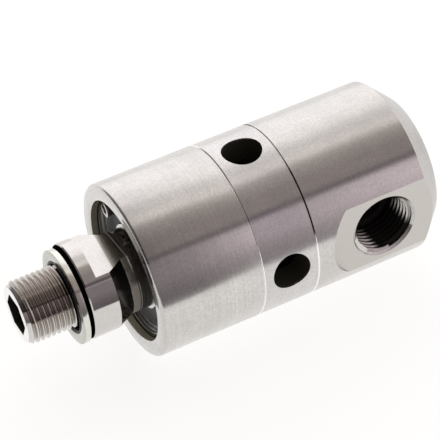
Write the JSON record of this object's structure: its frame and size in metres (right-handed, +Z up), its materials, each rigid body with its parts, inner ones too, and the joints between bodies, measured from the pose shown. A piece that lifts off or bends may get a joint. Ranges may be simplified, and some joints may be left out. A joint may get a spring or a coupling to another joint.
{
  "type": "hydraulic rotary union",
  "caption": "Round one-passage rotary union: threaded rotor with wrench flats in a sealed ball-bearing housing with radial vent holes and a threaded side port.",
  "frame": {"origin": "centre of the sealing face of the rotor's collar, on the rotor's axis", "axes": "+X along the rotor's axis from the threaded spigot to the closed rear end, side port facing -Y, +Z up with the union lying on its side"},
  "size_m": [0.1383, 0.058, 0.058],
  "materials": {
    "turned_steel": "finely turned stainless steel",
    "zinc_plated_steel": "zinc plated, faint yellow-green tint",
    "bearing_steel": "ground and polished bearing steel",
    "spring_steel": "phosphated spring steel",
    "black_rubber": "moulded nitrile rubber",
    "cage_plastic": "moulded polyamide",
    "seal_plastic": "bronze-filled sealing plastic"
  },
  "bodies": {
    "rotor": {"rotor_shaft": "turned_steel", "bonded_seal_ring": "zinc_plated_steel", "bonded_seal_lip": "black_rubber", "front_bearing_inner_ring": "bearing_steel", "rear_bearing_inner_ring": "bearing_steel", "inner_spacer": "turned_steel", "rotor_circlip": "spring_steel"},
    "housing": {"front_sleeve": "turned_steel", "vent_ring": "turned_steel", "rear_housing": "turned_steel", "joint_seal": "black_rubber", "front_bearing_outer_ring": "bearing_steel", "rear_bearing_outer_ring": "bearing_steel", "front_bearing_front_shield": "black_rubber", "front_bearing_rear_shield": "black_rubber", "rear_bearing_front_shield": "black_rubber", "rear_bearing_rear_shield": "black_rubber", "outer_spacer": "turned_steel", "housing_circlip": "spring_steel", "front_rotor_seal": "seal_plastic", "front_seal_energiser": "black_rubber", "rear_rotor_seal": "seal_plastic", "rear_seal_energiser": "black_rubber", "seal_divider": "turned_steel", "guide_ring": "seal_plastic"},
    "front_ball_set": {"front_bearing_balls": "bearing_steel", "front_bearing_cage": "cage_plastic"},
    "rear_ball_set": {"rear_bearing_balls": "bearing_steel", "rear_bearing_cage": "cage_plastic"}
  },
  "joints": [
    {"name": "housing_turn", "type": "hinge", "parent": "rotor", "child": "housing", "pos_m": [0, 0, 0], "axis": [1, 0, 0], "continuous": true},
    {"name": "front_balls_turn", "type": "hinge", "parent": "rotor", "child": "front_ball_set", "pos_m": [0, 0, 0], "axis": [1, 0, 0], "continuous": true},
    {"name": "rear_balls_turn", "type": "hinge", "parent": "rotor", "child": "rear_ball_set", "pos_m": [0, 0, 0], "axis": [1, 0, 0], "continuous": true}
  ],
  "couplings": [
    {"joint": "front_balls_turn", "follows": "housing_turn", "ratio": 0.6185},
    {"joint": "rear_balls_turn", "follows": "housing_turn", "ratio": 0.6185}
  ]
}
